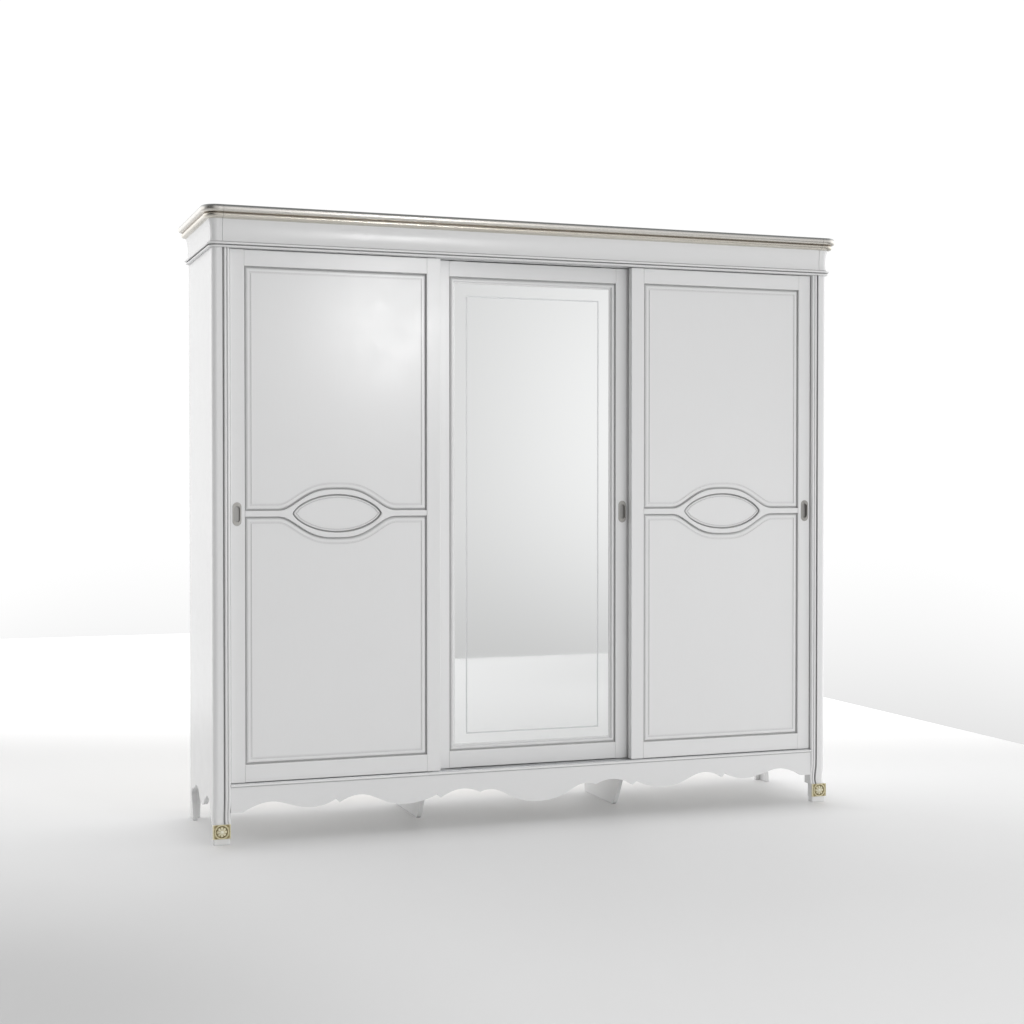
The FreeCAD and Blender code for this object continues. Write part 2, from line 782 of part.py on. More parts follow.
def eye_rail():
    left = -d.door_outer + d.stile
    right = -d.door_inner - d.stile
    over = eye_bump(1)
    under = list(reversed(eye_bump(-1)))
    frame = outline(
        (left, over[0][1]), over[0], curve(*over[1:]), (right, over[0][1]), (right, under[0][1]),
        under[0], curve(*under[1:]), (left, under[0][1]))
    body = solid("left_door_eye_rail", "XZ_Plane", frame + loop(eye_hole()), "door_thick",
                 y="door_front + door_thick")
    doc.recompute()
    shaped = body.Tip
    faces = shaped.Shape.Faces
    front = [f"Face{index}" for index, face in enumerate(faces, start=1)
             if abs(face.CenterOfMass.y + d.door_thick) < 1e-3]
    eased = body.newObject("PartDesign::Fillet", "eye_rail_easing")
    eased.Base = (shaped, front)
    eased.Radius = 3
    return body


def beaded(body, name, shape, border, low):
    """A bead that rises from a level in two slopes; border is its foot, shoulder and crest."""
    foot, shoulder, crest = border
    middle = low + 9.5
    high = low + 11.5
    bevel(body, name + "_foot", shape(foot), shape(shoulder), low, middle)
    bevel(body, name + "_crest", shape(shoulder), shape(crest), middle, high)
    return high


def raised_panel(name, shape, border, step, field):
    """Panel with a bead round it and a shallow step round its field.

    shape(inset) gives its outline; border, step and field are insets from the frame inward.
    """
    body = doc.addObject("PartDesign::Body", name)
    pad(body, name + "_slab", "XZ_Plane", shape(0), "panel_slab")
    high = beaded(body, name, shape, border, d.panel_slab)
    ring = body.newObject("PartDesign::Pocket", name + "_step")
    ring.Profile = sketch(body, name + "_step_outline", "XZ_Plane", shape(step) + shape(field), high)
    ring.Length = 2.5
    place(body, "0", "door_front + door_thick - panel_back")
    return body


def panel_shape(sign):
    """Outline of the upper (+1) or lower (-1) panel at an inset from its frame."""
    far = d.door_high - d.top_rail if sign > 0 else d.door_low + d.low_rail

    def shape(inset):
        left = -d.door_outer + d.stile + inset
        right = -d.door_inner - d.stile - inset
        near = eye_bump(sign, inset)
        edge = far - sign * inset
        return outline((left, edge), (left, near[0][1]), near[0], curve(*near[1:]),
                       (right, near[0][1]), (right, edge))

    return shape


def side_doors():
    """The left door, and the right door as its mirror image."""
    stiles, top, low = door_frame(
        "left_door", -d.door_outer, -d.door_inner, d.stile, d.door_front)
    pull_middle = -d.door_outer + d.stile / 2 - 2
    mortised = cut("left_door_stile_mortised", stiles[0],
                   pull_mortise("left_door", pull_middle, "door_front"))
    slots = roller_slots("left_door", str(-DOOR_MIDDLE), str(SIDE_LANE))
    pieces = {
        "stiles": group("left_door_stiles", [mortised, stiles[1]]),
        "rails": group("left_door_rails", [top, cut("left_door_rail_slotted", low, slots)]),
        "eye_rail": eye_rail(),
        "upper_panel": raised_panel("left_door_upper_panel", panel_shape(1), BEAD, 21, 27),
        "lower_panel": raised_panel("left_door_lower_panel", panel_shape(-1), BEAD, 21, 27),
        "eye_panel": raised_panel(
            "left_door_eye_panel", lambda inset: loop(eye_hole(inset)), (1.5, 6, 8), 11, 15),
        "pull": pull("left_door_pull", pull_middle, "door_front")}
    for name, piece in pieces.items():
        pair(f"right_door_{name}", piece)
    running_gear("left_door", str(-DOOR_MIDDLE), str(SIDE_LANE))
    running_gear("right_door", str(DOOR_MIDDLE), str(SIDE_LANE))


side_doors()


# ---- middle door ---------------------------------------------------------------------------------

def rectangle(half, low, high):
    return outline((-half, low), (half, low), (half, high), (-half, high))


def mirror_moulding(half, low, high):
    """Beaded strip round the mirror, with a slope down from the bead to the glass."""
    fillet = 1
    bead_inside = 17
    slope_inside = 22
    body = doc.addObject("PartDesign::Body", "middle_door_moulding")

    def shape(inset):
        return rectangle(half - inset, low + inset, high - inset)

    pad(body, "moulding_fillet", "XZ_Plane", shape(0), str(fillet))
    crest = beaded(body, "moulding", shape, BEAD, fillet)
    slope = body.newObject("PartDesign::SubtractiveLoft", "moulding_slope")
    slope.Profile = sketch(body, "moulding_slope_high", "XZ_Plane", shape(bead_inside), crest)
    slope.Sections = [sketch(body, "moulding_slope_low", "XZ_Plane", shape(slope_inside), fillet + 1)]
    slope.Ruled = True
    glass = body.newObject("PartDesign::Pocket", "moulding_opening")
    glass.Profile = sketch(body, "moulding_opening_outline", "XZ_Plane", shape(d.bead_strip), crest)
    glass.setExpression("Length", f"{crest}")
    place(body, "0", "door_front + door_gap + mirror_set")
    return body


def engraved_line(y):
    """Shallow rectangular groove near the edge of the mirror."""
    half = 298
    low = 375
    high = 2196
    wide = 6
    ring = rectangle(half, low, high) + rectangle(half - wide, low + wide, high - wide)
    return solid("mirror_line", "XZ_Plane", ring, "1.8", y=y)


def middle_door():
    front = d.door_front + d.door_gap
    stiles, top, low = door_frame(
        "middle_door", -d.middle_half, d.middle_half, d.middle_stile, front)
    pull_middle = d.middle_half - d.middle_stile / 2
    mortised = cut("middle_door_stile_mortised", stiles[1],
                   pull_mortise("middle_door", pull_middle, "door_front + door_gap"))
    slots = roller_slots("middle_door", "0", str(MIDDLE_LANE))
    node(group("middle_door_stiles", [stiles[0], mortised]))
    node(group("middle_door_rails", [top, cut("middle_door_rail_slotted", low, slots)]))
    half = d.middle_half - d.middle_stile
    bottom_edge = d.door_low + d.low_rail
    top_edge = d.door_high - d.top_rail
    node(mirror_moulding(half, bottom_edge, top_edge))
    glass_front = "door_front + door_gap + mirror_set"
    edges = ("door_low + low_rail", "door_high - top_rail")
    sides = ("middle_stile - middle_half", "middle_half - middle_stile")
    glass = box("middle_door_glass", sides, (glass_front, f"{glass_front} + mirror_glass"), edges)
    node(cut("middle_door_mirror", glass, engraved_line(f"{glass_front} + 0.8")))
    node(box("middle_door_backing", sides, (
        f"{glass_front} + mirror_glass", f"{glass_front} + mirror_glass + backing_board"), edges))
    node(pull("middle_door_pull", pull_middle, "door_front + door_gap"))
    running_gear("middle_door", "0", str(MIDDLE_LANE))


middle_door()


# ---- checks and export ---------------------------------------------------------------------------

doc.recompute()
problems = [
    f"{piece.Label}: {piece.State}" for piece in doc.Objects
    if "Invalid" in piece.State or "Error" in piece.State]
for piece in nodes:
    if piece.Shape.isNull() or not piece.Shape.isValid():
        problems.append(f"{piece.Label}: shape is null or not valid")
if problems:
    raise RuntimeError("; ".join(problems))

os.makedirs("parts", exist_ok=True)
for piece in nodes:
    piece.Shape.exportStep(f"parts/{piece.Label}.step")
print(len(nodes), "sub-parts written")
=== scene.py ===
"""Armoire with three sliding doors: looks, stage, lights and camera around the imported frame."""
import math

import bmesh
import bpy
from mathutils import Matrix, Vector


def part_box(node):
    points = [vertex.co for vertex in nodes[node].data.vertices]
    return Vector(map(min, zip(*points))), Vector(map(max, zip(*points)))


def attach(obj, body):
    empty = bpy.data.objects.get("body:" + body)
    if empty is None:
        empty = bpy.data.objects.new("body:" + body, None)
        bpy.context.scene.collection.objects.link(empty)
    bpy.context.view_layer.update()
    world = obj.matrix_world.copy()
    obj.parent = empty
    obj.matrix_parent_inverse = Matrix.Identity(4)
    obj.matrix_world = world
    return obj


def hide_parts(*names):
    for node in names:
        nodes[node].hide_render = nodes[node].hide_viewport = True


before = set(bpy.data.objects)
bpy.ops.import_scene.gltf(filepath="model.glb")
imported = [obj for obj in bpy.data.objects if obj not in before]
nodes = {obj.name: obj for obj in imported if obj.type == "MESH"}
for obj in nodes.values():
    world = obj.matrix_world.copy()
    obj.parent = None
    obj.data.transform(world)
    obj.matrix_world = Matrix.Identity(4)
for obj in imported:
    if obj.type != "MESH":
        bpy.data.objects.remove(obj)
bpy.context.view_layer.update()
scene = bpy.context.scene


# ---- node helpers --------------------------------------------------------------------------------

def map_range(tree, source, low, high, to_low, to_high, easing="SMOOTHSTEP"):
    """Carries low..high over to to_low..to_high, and stays at the ends outside them."""
    made = tree.nodes.new("ShaderNodeMapRange")
    made.interpolation_type = easing
    tree.links.new(source, made.inputs["Value"])
    for socket, value in (("From Min", low), ("From Max", high),
                          ("To Min", to_low), ("To Max", to_high)):
        made.inputs[socket].default_value = value
    return made.outputs["Result"]


def arithmetic(tree, operation, first, second):
    """A math node on two values, each of them a socket or a number."""
    made = tree.nodes.new("ShaderNodeMath")
    made.operation = operation
    for socket, value in zip(made.inputs, (first, second)):
        if isinstance(value, (int, float)):
            socket.default_value = value
        else:
            tree.links.new(value, socket)
    return made.outputs["Value"]


class Look:
    """A material with its Principled shader, and short calls to add the nodes that feed it."""

    def __init__(self, name, color, roughness, metallic=0.0):
        self.material = bpy.data.materials.new(name)
        self.material.use_nodes = True
        self.tree = self.material.node_tree
        self.shader = self.tree.nodes["Principled BSDF"]
        self.set("Base Color", (*color, 1.0))
        self.set("Roughness", roughness)
        self.set("Metallic", metallic)
        self.coords = self.add("ShaderNodeTexCoord").outputs["Object"]

    def add(self, kind, **settings):
        made = self.tree.nodes.new(kind)
        for key, value in settings.items():
            setattr(made, key, value)
        return made

    def link(self, source, target):
        self.tree.links.new(source, target)

    def set(self, socket, value):
        self.shader.inputs[socket].default_value = value

    def feed(self, socket, source):
        self.link(source, self.shader.inputs[socket])

    def stretched(self, scale):
        mapping = self.add("ShaderNodeMapping")
        mapping.inputs["Scale"].default_value = scale
        self.link(self.coords, mapping.inputs["Vector"])
        return mapping.outputs["Vector"]

    def noise(self, scale, detail=3.0, roughness=0.55, stretch=None, distortion=0.0):
        made = self.add("ShaderNodeTexNoise")
        made.inputs["Scale"].default_value = scale
        made.inputs["Detail"].default_value = detail
        made.inputs["Roughness"].default_value = roughness
        made.inputs["Distortion"].default_value = distortion
        self.link(self.stretched(stretch) if stretch else self.coords, made.inputs["Vector"])
        return made.outputs["Fac"]

    def axis(self, name):
        split = self.add("ShaderNodeSeparateXYZ")
        self.link(self.coords, split.inputs["Vector"])
        return split.outputs[name]

    def spread(self, source, low, high, to_low, to_high, easing="SMOOTHSTEP"):
        return map_range(self.tree, source, low, high, to_low, to_high, easing)

    def combine(self, first, second, operation="ADD"):
        return arithmetic(self.tree, operation, first, second)

    def magnitude(self, value):
        return self.combine(value, 0.0, "ABSOLUTE")

    def blotched(self, fine, coarse_scale):
        """Fine speckle carried on a coarser clouding."""
        clouds = self.noise(coarse_scale)
        return self.combine(self.combine(fine, 0.6, "MULTIPLY"),
                            self.combine(clouds, 0.4, "MULTIPLY"))

    def ramp(self, source, stops):
        made = self.add("ShaderNodeValToRGB")
        elements = made.color_ramp.elements
        while len(elements) < len(stops):
            elements.new(0.5)
        for element, (place, color) in zip(elements, stops):
            element.position = place
            element.color = (*color, 1.0)
        self.link(source, made.inputs["Fac"])
        return made.outputs["Color"]

    def mix(self, factor, first, second, blend="MIX"):
        made = self.add("ShaderNodeMix", data_type="RGBA", blend_type=blend)
        for index, value in ((0, factor), (6, first), (7, second)):
            socket = made.inputs[index]
            if isinstance(value, (int, float)):
                socket.default_value = value
            elif isinstance(value, tuple):
                socket.default_value = (*value, 1.0)
            else:
                self.link(value, socket)
        return made.outputs[2]

    def hollows(self, reach, low, high, to_low):
        """Ambient-occlusion factor for painted shade: from to_low, where a point is closed in
        within reach, to 1 in the open.
        """
        made = self.add("ShaderNodeAmbientOcclusion", samples=12)
        made.inputs["Distance"].default_value = reach
        return self.spread(made.outputs["AO"], low, high, to_low, 1.0)

    def bump(self, height, distance, strength=1.0, under=None):
        made = self.add("ShaderNodeBump")
        made.inputs["Distance"].default_value = distance
        made.inputs["Strength"].default_value = strength
        self.link(height, made.inputs["Height"])
        if under:
            self.link(under, made.inputs["Normal"])
        return made.outputs["Normal"]


def assign(material, *pieces):
    for piece in pieces:
        piece.data.materials.clear()
        piece.data.materials.append(material)


# ---- materials -----------------------------------------------------------------------------------

def lacquer(name, along, tint=(0.855, 0.856, 0.858), gloss=0.235, shaded=0.74):
    """Sprayed satin lacquer: orange peel, faint filled grain along the board, uneven gloss.

    In corners and grooves the colour is darkened to the shaded share of itself: painted shade from
    an ambient-occlusion factor."""
    look = Look(name, tint, gloss)
    grain_stretch = {"X": (2.5, 60.0, 60.0), "Z": (60.0, 60.0, 2.5)}[along]
    grain = look.noise(6.0, detail=4.0, roughness=0.6, stretch=grain_stretch)
    cloud = look.noise(1.7, detail=3.0)
    shade = look.ramp(cloud, ((0.3, tuple(0.990 * part for part in tint)), (0.72, tint)))
    streak = look.ramp(grain, ((0.35, (0.993, 0.993, 0.991)), (0.65, (1.0, 1.0, 1.0))))
    sprayed = look.mix(1.0, shade, streak, "MULTIPLY")
    # Painted shade: ambient occlusion darkens the colour in corners and grooves.
    groove_reach = 0.010
    painted_groove_shade = look.ramp(look.hollows(groove_reach, 0.30, 0.92, 0.0), (
        (0.0, (shaded, shaded, shaded)), (1.0, (1.0, 1.0, 1.0))))
    look.feed("Base Color", look.mix(1.0, sprayed, painted_groove_shade, "MULTIPLY"))
    film = look.noise(9.0, detail=5.0, roughness=0.65)
    look.feed("Roughness", look.spread(film, 0.3, 0.7, gloss - 0.015, gloss + 0.02))
    peel = look.bump(look.noise(420.0, detail=2.0), 0.00008, 0.3)
    look.feed("Normal", look.bump(grain, 0.00008, 0.2, peel))
    look.set("Specular IOR Level", 0.55)
    return look.material


def melamine():
    """Inside boards: matt white with a fine woven print."""
    look = Look("inside_melamine", (0.83, 0.825, 0.81), 0.5)
    warp = look.noise(3.0, detail=2.0, stretch=(900.0, 900.0, 25.0))
    weft = look.noise(3.0, detail=2.0, stretch=(25.0, 25.0, 900.0))
    weave = look.combine(warp, weft)
    look.feed("Base Color", look.ramp(
        look.spread(weave, 0.75, 1.25, 0.0, 1.0),
        ((0.0, (0.78, 0.775, 0.755)), (1.0, (0.845, 0.84, 0.825)))))
    look.feed("Roughness", look.spread(weave, 0.7, 1.3, 0.56, 0.44))
    look.feed("Normal", look.bump(weave, 0.0002, 0.5))
    return look.material


def back_board():
    """Thin back: matt white print on the inner face, unfinished fibreboard on the outer one."""
    look = Look("back_board", (0.83, 0.825, 0.81), 0.5)
    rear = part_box("back_panels")[1].y
    outer = look.spread(look.axis("Y"), rear - 0.0012, rear - 0.0006, 0.0, 1.0)
    fibre = look.noise(600.0, detail=5.0, roughness=0.7)
    print_tone = look.ramp(fibre, ((0.3, (0.80, 0.795, 0.78)), (0.7, (0.84, 0.835, 0.82))))
    bare_tone = look.ramp(look.blotched(fibre, 5.0), (
        (0.3, (0.47, 0.42, 0.35)), (0.55, (0.55, 0.50, 0.43)), (0.75, (0.61, 0.57, 0.50))))
    look.feed("Base Color", look.mix(outer, print_tone, bare_tone))
    look.feed("Roughness", look.spread(outer, 0.0, 1.0, 0.5, 0.82))
    look.feed("Normal", look.bump(fibre, 0.0002, 0.5))
    return look.material


def leaf_metal():
    """Crown cap: champagne leaf on the torus, silver leaf on the band and top edge; the quirk is
    painted dark as shade and the top edge as a dark reflection.

    A thin dark line marks the joint beside each front corner."""
    look = Look("crown_leaf", (0.62, 0.59, 0.52), 0.24, 0.85)
    low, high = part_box("crown_cap")
    height = look.spread(look.axis("Z"), low.z, high.z, 0.0, 1.0, "LINEAR")
    # Colour by height: the leaf tones, with painted shade in the quirk (0.39 to 0.43) and a painted
    # dark reflection on the top edge (from 0.86 up).
    leaf_and_painted_shade = look.ramp(height, (
        (0.0, (0.66, 0.635, 0.58)), (0.10, (0.70, 0.665, 0.60)), (0.36, (0.66, 0.625, 0.565)),
        (0.39, (0.36, 0.32, 0.28)), (0.43, (0.36, 0.32, 0.28)), (0.46, (0.70, 0.675, 0.63)),
        (0.76, (0.70, 0.68, 0.65)), (0.86, (0.36, 0.365, 0.36))))
    patch = look.ramp(look.noise(5.0, detail=4.0, roughness=0.6, distortion=0.4), (
        (0.35, (0.965, 0.955, 0.935)), (0.62, (1.0, 1.0, 1.0))))
    corner_joint = 1.320
    off_joint = look.combine(look.magnitude(look.axis("X")), corner_joint, "SUBTRACT")
    away = look.spread(look.magnitude(off_joint), 0.0005, 0.0012, 0.25, 1.0)
    leaf = look.mix(1.0, leaf_and_painted_shade, patch, "MULTIPLY")
    look.feed("Base Color", look.mix(away, (0.20, 0.19, 0.17), leaf))
    rub = look.noise(30.0, detail=4.0, roughness=0.6, stretch=(1.0, 1.0, 3.0))
    look.feed("Roughness", look.spread(rub, 0.3, 0.72, 0.22, 0.27))
    look.feed("Normal", look.bump(rub, 0.00002, 0.1))
    return look.material


def gilding():
    """Antique gold, darker low in the carving and lighter on its raised parts. Reads the mesh's
    relief values.
    """
    look = Look("antique_gilding", (0.62, 0.50, 0.27), 0.34, 0.3)
    relief = look.add("ShaderNodeAttribute", attribute_name="relief").outputs["Fac"]
    worn = look.noise(220.0, detail=6.0, roughness=0.7)
    level = look.combine(relief, look.spread(worn, 0.3, 0.7, -0.1, 0.1))
    look.feed("Base Color", look.ramp(level, (
        (0.0, (0.15, 0.12, 0.06)), (0.20, (0.36, 0.30, 0.15)), (0.42, (0.62, 0.55, 0.34)),
        (0.66, (0.80, 0.75, 0.53)), (0.92, (0.98, 0.95, 0.82)))))
    look.feed("Roughness", look.spread(level, 0.1, 0.8, 0.62, 0.28))
    look.feed("Normal", look.bump(worn, 0.0004, 0.35))
    return look.material


def mirror_glass():
    """Silvered glass; the shallow engraved line behind its face is frosted."""
    look = Look("silvered_mirror", (0.93, 0.938, 0.935), 0.02, 1.0)
    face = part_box("middle_door_mirror")[0].y
    frosted = look.spread(look.axis("Y"), face + 0.0001, face + 0.0004, 0.0, 1.0)
    sheet_edge = look.spread(look.axis("Y"), face + 0.002, face + 0.003, 0.0, 1.0)
    frost = look.combine(frosted, sheet_edge, "SUBTRACT")
    grit = look.noise(1400.0, detail=2.0)
    polish = look.spread(look.noise(3.0, detail=3.0), 0.3, 0.7, 0.012, 0.03)
    look.feed("Roughness", look.combine(polish, look.combine(frost, 0.5, "MULTIPLY")))
    silver = look.ramp(look.noise(0.8), (
        (0.3, (0.925, 0.932, 0.93)), (0.7, (0.935, 0.942, 0.94))))
    look.feed("Base Color", look.mix(frost, silver, (0.72, 0.73, 0.735)))
    look.feed("Normal", look.bump(look.combine(grit, frost, "MULTIPLY"), 0.0002, 0.4))
    return look.material


def brushed(name, color, gloss, stretch, depth=0.00012):
    """Brushed or drawn metal, with its lines across the stretched axes."""
    look = Look(name, color, gloss, 1.0)
    lines = look.noise(5.0, detail=5.0, roughness=0.7, stretch=stretch)
    smear = look.noise(40.0, detail=3.0)
    dark = tuple(0.86 * part for part in color)
    look.feed("Base Color", look.ramp(lines, ((0.3, dark), (0.62, color))))
    along_lines = look.spread(lines, 0.3, 0.7, gloss - 0.06, gloss + 0.1)
    across_smears = look.spread(smear, 0.3, 0.7, -0.03, 0.03)
    look.feed("Roughness", look.combine(along_lines, across_smears))
    look.feed("Normal", look.bump(lines, depth, 0.6))
    return look.material


def moulded(name, color, gloss):
    """Moulded nylon: fine spark-eroded texture and slight clouding."""
    look = Look(name, color, gloss)
    look.feed("Base Color", look.ramp(look.noise(60.0), (
        (0.3, tuple(0.88 * part for part in color)), (0.7, tuple(1.1 * part for part in color)))))
    texture = look.noise(1500.0, detail=3.0)
    look.feed("Roughness", look.spread(texture, 0.3, 0.7, gloss - 0.05, gloss + 0.1))
    look.feed("Normal", look.bump(texture, 0.0002, 0.4))
    look.set("Specular IOR Level", 0.45)
    return look.material


def pull_metal(name):
    """Brushed satin nickel plate, painted darker down in its finger recess as shade."""
    look = Look(f"satin_nickel_{name}", (0.68, 0.67, 0.65), 0.28, 1.0)
    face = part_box(name)[0].y
    lines = look.noise(5.0, detail=5.0, roughness=0.7, stretch=(60.0, 60.0, 1400.0))
    brushed_tone = look.ramp(lines, ((0.3, (0.36, 0.35, 0.335)), (0.62, (0.45, 0.44, 0.42))))
    # Painted shade: the colour turns darker and unbrushed down in the finger recess.
    recess_painted_shade = look.spread(look.axis("Y"), face + 0.0028, face + 0.0080, 0.0, 1.0)
    look.feed("Base Color", look.mix(recess_painted_shade, brushed_tone, (0.36, 0.355, 0.345)))
    look.feed("Roughness", look.spread(lines, 0.3, 0.7, 0.26, 0.42))
    look.feed("Normal", look.bump(lines, 0.00012, 0.6))
    return look.material


def raw_board():
    """Bare fibreboard behind the mirror."""
    look = Look("raw_board", (0.40, 0.31, 0.21), 0.85)
    fibre = look.noise(700.0, detail=5.0, roughness=0.7)
    look.feed("Base Color", look.ramp(look.blotched(fibre, 6.0), (
        (0.3, (0.33, 0.25, 0.165)), (0.55, (0.42, 0.33, 0.225)), (0.75, (0.50, 0.41, 0.30)))))
    look.feed("Roughness", look.spread(fibre, 0.3, 0.7, 0.78, 0.92))
    look.feed("Normal", look.bump(fibre, 0.0004, 0.5))
    return look.material


upright = lacquer("white_lacquer_upright", "Z")
across = lacquer("white_lacquer_across", "X")
# The crown's lacquer gets stronger painted shade in its corners and grooves.
crown_white = lacquer("white_lacquer_crown", "X", shaded=0.60)
inside = melamine()
cap_leaf = leaf_metal()
gold = gilding()
zinc = brushed("zinc_steel", (0.60, 0.61, 0.63), 0.38, (300.0, 300.0, 300.0))
aluminium = brushed("track_aluminium", (0.74, 0.75, 0.76), 0.3, (2.0, 1100.0, 1100.0))
chrome = brushed("rail_chrome", (0.80, 0.80, 0.81), 0.09, (1.5, 500.0, 500.0), 0.00003)
wheel_nylon = moulded("wheel_nylon", (0.16, 0.16, 0.17), 0.45)
guide_nylon = moulded("guide_nylon", (0.60, 0.60, 0.59), 0.5)

# The first word found in a node's name decides its material; the rest is lacquered across.
WORDS = (
    ("crown_cap", cap_leaf), ("crown_beads", crown_white),
    ("_mirror", mirror_glass()), ("_backing", raw_board()),
    ("roller_brackets", zinc), ("shelf_pins", zinc), ("_track", aluminium),
    ("hanging_rails", chrome), ("_wheel_", wheel_nylon), ("top_guides", guide_nylon),
    ("shelves", inside), ("partitions", inside), ("bottom_board", inside),
    ("back_panels", back_board()), ("post_", upright), ("stiles", upright), ("_panel", upright),
    ("side_left", upright), ("side_right", upright), ("moulding", upright))

for name, piece in nodes.items():
    assign(next((material for word, material in WORDS if word in name), across), piece)

PULLS = ("left_door_pull", "middle_door_pull", "right_door_pull")
for name in PULLS:
    assign(pull_metal(name), nodes[name])

# Widths in metres of the eased edges, and the nodes that have them.
EASED = (
    (0.0006, ("shelves", "partitions")),
    (0.0007, PULLS),
    (0.0012, ("side_left", "side_right", "middle_feet", "rear_feet")),
    (0.0015, ("apron_front", "side_apron_left", "side_apron_right")),
    (0.0018, ("left_door_upper_panel", "left_door_lower_panel",
              "right_door_upper_panel", "right_door_lower_panel")))

for width, names in EASED:
    for name in names:
        eased = nodes[name].modifiers.new("eased_edges", "BEVEL")
        eased.width = width
        eased.segments = 2
        eased.limit_method = "ANGLE"
        eased.angle_limit = math.radians(60)


# ---- carved rosettes on the front feet -----------------------------------------------------------

FLOWER_RADIUS = 0.0265
# Distances from the plaque's middle, in flower radii.
BOSS_EDGE = 0.27
SEEDS_EDGE = 0.22
PETAL_ROOT = 0.50
PETAL_LENGTH = 0.33
FLOWER_EDGE = 0.86
RING_MIDDLE = 0.99
RING_HALF = 0.13
# Half sizes of the sunk field inside the plaque's rim, in metres.
FIELD_ACROSS = 0.0312
FIELD_UP = 0.0272


def petals(turn, reach):
    """Height of the eight-petalled flower, 0 to 1, at an angle and a distance in flower radii."""
    if reach < BOSS_EDGE:
        boss = math.sqrt(1.0 - (reach / BOSS_EDGE) ** 2)
        seeds = 0.12 * math.cos(turn * 6) * math.sin(min(1.0, reach / SEEDS_EDGE) * math.pi)
        return 0.62 + 0.38 * boss + seeds
    lobe = abs(math.cos(turn * 4))
    edge = PETAL_ROOT + PETAL_LENGTH * lobe ** 0.45
    if reach < edge:
        along = (reach - BOSS_EDGE) / (edge - BOSS_EDGE)
        crown = math.sin(math.pi * min(1.0, 0.25 + 0.75 * along)) ** 0.6
        vein = 0.22 * math.exp(-((1 - lobe) / 0.05) ** 2)
        return (0.25 + 0.62 * crown) * lobe ** 0.35 - vein
    between = abs(math.sin(turn * 4))
    return 0.30 * max(0.0, between - 0.72) / 0.28 * max(0.0, 1 - abs(reach - 0.66) / 0.16)


def carving(across, up):
    """Relief at a distance across and up from the plaque's middle.

    Returns its height out of the ground in metres and its brightness, 0 to 1."""
    reach = math.hypot(across, up) / FLOWER_RADIUS
    turn = math.atan2(up, across)
    if reach < FLOWER_EDGE:
        flower = petals(turn, reach)
        return 0.0082 * flower - 0.0034, 0.06 + 1.04 * flower
    if reach < RING_MIDDLE + RING_HALF:
        ring = math.sqrt(max(0.0, 1 - ((reach - RING_MIDDLE) / RING_HALF) ** 2))
        return 0.0030 * ring - 0.0014, 0.14 + 0.42 * ring
    if max(abs(across) / FIELD_ACROSS, abs(up) / FIELD_UP) > 1.0:
        return 0.0006, 0.70
    leaf = math.sin(reach * 9.0) * math.cos(turn * 4) ** 2
    return -0.0010 + 0.0008 * leaf, 0.34 + 0.20 * leaf


def rosette(name):
    """Gilded plaque on the front of a foot block, carved with a flower in a ring."""
    low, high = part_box(name)
    middle = (low + high) / 2
    plate_thick = 0.006
    edge_round = 0.002
    step = 0.0009
    side_bright = 0.6
    face = high.y - plate_thick
    columns = round((high.x - low.x) / step)
    rows = round((high.z - low.z) / step)
    mesh = bmesh.new()
    relief = mesh.verts.layers.float.new("relief")
    grid = []
    for row in range(rows + 1):
        z = low.z + (high.z - low.z) * row / rows
        line = []
        for column in range(columns + 1):
            x = low.x + (high.x - low.x) * column / columns
            rim = min(x - low.x, high.x - x, z - low.z, high.z - z)
            short = max(0.0, edge_round - rim)
            ease = edge_round - math.sqrt(edge_round ** 2 - short ** 2)
            rise, bright = carving(x - middle.x, z - middle.z)
            vert = mesh.verts.new((x, face - rise + ease, z))
            vert[relief] = bright
            line.append(vert)
        grid.append(line)
    for lower, upper in zip(grid, grid[1:]):
        for column in range(columns):
            mesh.faces.new((lower[column], lower[column + 1], upper[column + 1], upper[column]))
    rim_edges = [edge for edge in mesh.edges if edge.is_boundary]
    for part in bmesh.ops.extrude_edge_only(mesh, edges=rim_edges)["geom"]:
        if isinstance(part, bmesh.types.BMVert):
            part.co.y = high.y
            part[relief] = side_bright
    bmesh.ops.holes_fill(mesh, edges=[edge for edge in mesh.edges if edge.is_boundary], sides=0)
    bmesh.ops.recalc_face_normals(mesh, faces=mesh.faces)
    data = bpy.data.meshes.new(f"carved_{name}")
    mesh.to_mesh(data)
    mesh.free()
    piece = bpy.data.objects.new(f"carved_{name}", data)
    scene.collection.objects.link(piece)
    assign(gold, piece)
    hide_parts(name)
    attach(piece, "cabinet")


rosette("rosette_left")
rosette("rosette_right")


# ---- stage ---------------------------------------------------------------------------------------

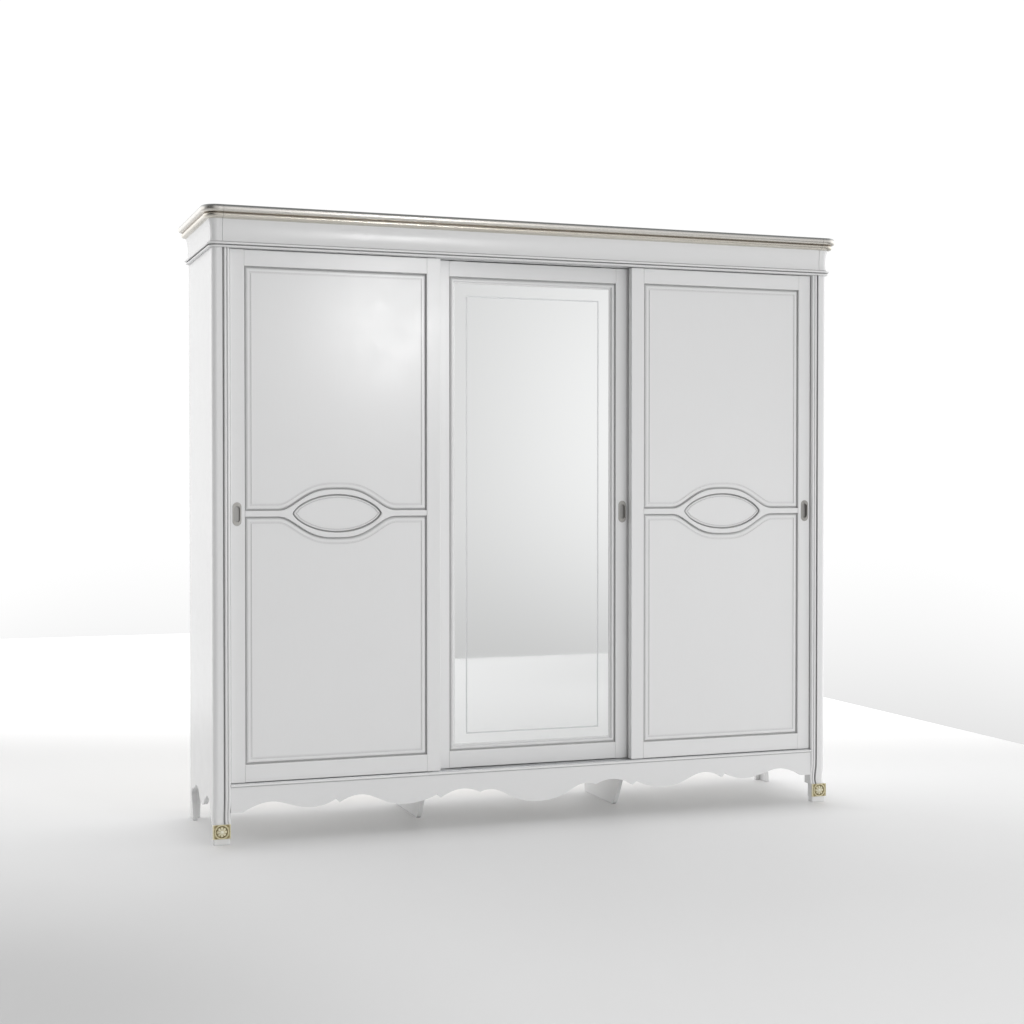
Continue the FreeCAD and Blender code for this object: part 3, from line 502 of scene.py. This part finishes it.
def floor():
    """Pale floor that ends to the right of the object.

    Its colour is painted darker towards the front left corner as shade, and it glows as painted
    light, more towards the back, up to white. Under the armoire the glow is left out, so the shadow
    there stays."""
    right = 3.2
    left = -14.0
    front = -6.4
    back = 9.0
    data = bpy.data.meshes.new("floor")
    data.from_pydata([(left, front, 0), (right, front, 0), (right, back, 0), (left, back, 0)],
                     [], [(0, 1, 2, 3)])
    piece = bpy.data.objects.new("floor", data)
    scene.collection.objects.link(piece)
    look = Look("pale_floor", (0.8, 0.8, 0.8), 0.6)
    slant_x, slant_y = 0.336, 0.942
    heading = look.combine(look.combine(look.axis("X"), slant_x, "MULTIPLY"),
                           look.combine(look.axis("Y"), slant_y, "MULTIPLY"))
    # Painted shade: the floor's colour darkens towards the front left corner.
    nearness = look.spread(heading, -2.7, -1.1, 1.0, 0.0)
    leftness = look.spread(look.axis("X"), -2.3, -0.8, 1.0, 0.0)
    look.feed("Base Color", look.ramp(look.combine(nearness, leftness, "MULTIPLY"), (
        (0.0, (0.86, 0.86, 0.86)), (1.0, (0.64, 0.64, 0.64)))))
    # Painted light: the floor glows, more towards the back and up to white far behind, but not
    # under the armoire.
    look.set("Emission Color", (1.0, 1.0, 1.0, 1.0))
    painted_light_lift = look.spread(heading, -1.9, 0.9, 0.0, 0.15)
    beyond_side = look.spread(look.magnitude(look.axis("X")), 1.15, 1.55, 0.0, 1.0)
    beyond_front = look.spread(look.axis("Y"), -0.60, -0.22, 1.0, 0.0)
    beyond_back = look.spread(look.axis("Y"), 0.25, 0.60, 0.0, 1.0)
    beyond_face = look.combine(beyond_front, beyond_back, "MAXIMUM")
    beyond = look.combine(beyond_face, beyond_side, "MAXIMUM")
    painted_light_whitening = look.spread(heading, 1.3, 3.6, 0.0, 0.42)
    look.feed("Emission Strength", look.combine(look.combine(painted_light_lift, beyond, "MULTIPLY"), painted_light_whitening))
    look.feed("Roughness", look.spread(look.noise(1.5), 0.3, 0.7, 0.55, 0.65))
    assign(look.material, piece)


def surroundings():
    """White studio: full white behind the object, dimmer in front, above and below."""
    world = bpy.data.worlds.new("studio")
    world.use_nodes = True
    scene.world = world
    tree = world.node_tree
    background = tree.nodes["Background"]
    coords = tree.nodes.new("ShaderNodeTexCoord")
    split = tree.nodes.new("ShaderNodeSeparateXYZ")
    tree.links.new(coords.outputs["Generated"], split.inputs["Vector"])

    def lobe(heading, rise, near, far, strength):
        """Extra light round a heading, in degrees clockwise from the back, gone beyond far."""
        toward = tree.nodes.new("ShaderNodeVectorMath")
        toward.operation = "DISTANCE"
        turn = math.radians(heading)
        toward.inputs[1].default_value = (math.sin(turn), math.cos(turn), rise)
        tree.links.new(coords.outputs["Generated"], toward.inputs[0])
        return map_range(tree, toward.outputs["Value"], near, far, strength, 0.0)

    depth = map_range(tree, split.outputs["Y"], -0.5, 0.35, 0.72, 1.03)
    zenith = map_range(tree, split.outputs["Z"], 0.45, 0.95, 1.0, 0.42)
    nadir = map_range(tree, split.outputs["Z"], -0.35, 0.0, 0.38, 1.0)
    strength = arithmetic(tree, "MULTIPLY", arithmetic(tree, "MULTIPLY", depth, zenith), nadir)
    mirror_glow = lobe(154, 0.04, 0.02, 0.20, 0.25)
    back_left = lobe(-42, 0.10, 0.30, 0.85, 0.54)
    right = lobe(88, 0.10, 0.30, 0.95, 0.8)
    dark_front_left = lobe(-122, 0.10, 0.40, 0.86, -0.64)
    for extra in (mirror_glow, back_left, right, dark_front_left):
        strength = arithmetic(tree, "ADD", strength, extra)
    tree.links.new(strength, background.inputs["Strength"])
    background.inputs["Color"].default_value = (1.0, 1.0, 1.0, 1.0)


def softbox(name, spot, target, width, height, power, mirrored=True):
    """Area light at a spot, facing a target; one that is not mirrored makes no reflection."""
    data = bpy.data.lights.new(name, "AREA")
    data.shape = "RECTANGLE"
    data.size = width
    data.size_y = height
    data.energy = power
    lamp = bpy.data.objects.new(name, data)
    lamp.location = spot
    lamp.rotation_euler = (Vector(target) - Vector(spot)).to_track_quat("-Z", "Y").to_euler()
    lamp.visible_glossy = mirrored
    scene.collection.objects.link(lamp)


def camera():
    turn_right = 19.63
    tilt_down = 0.99
    data = bpy.data.cameras.new("camera")
    data.lens = 58.25
    data.sensor_width = 36.0
    data.clip_end = 100.0
    made = bpy.data.objects.new("camera", data)
    made.location = (-2.430, -6.747, 1.418)
    made.rotation_euler = (math.radians(90 - tilt_down), 0.0, math.radians(-turn_right))
    scene.collection.objects.link(made)
    scene.camera = made


floor()
surroundings()
softbox("front_softbox", (1.22, -6.95, 2.72), (-0.6, -0.25, 1.8), 0.5, 0.5, 40.0)
softbox("overhead", (-0.6, 0.6, 5.0), (-0.2, -0.6, 0.0), 6.0, 4.5, 62.0, mirrored=False)
softbox("right_fill", (3.4, -3.8, 1.5), (1.0, -0.3, 1.2), 1.6, 2.2, 12.0, mirrored=False)
softbox("front_fill", (2.8, -8.4, 1.1), (0.8, -0.3, 0.8), 4.5, 1.6, 42.0, mirrored=False)
camera()
scene.view_settings.view_transform = "Standard"
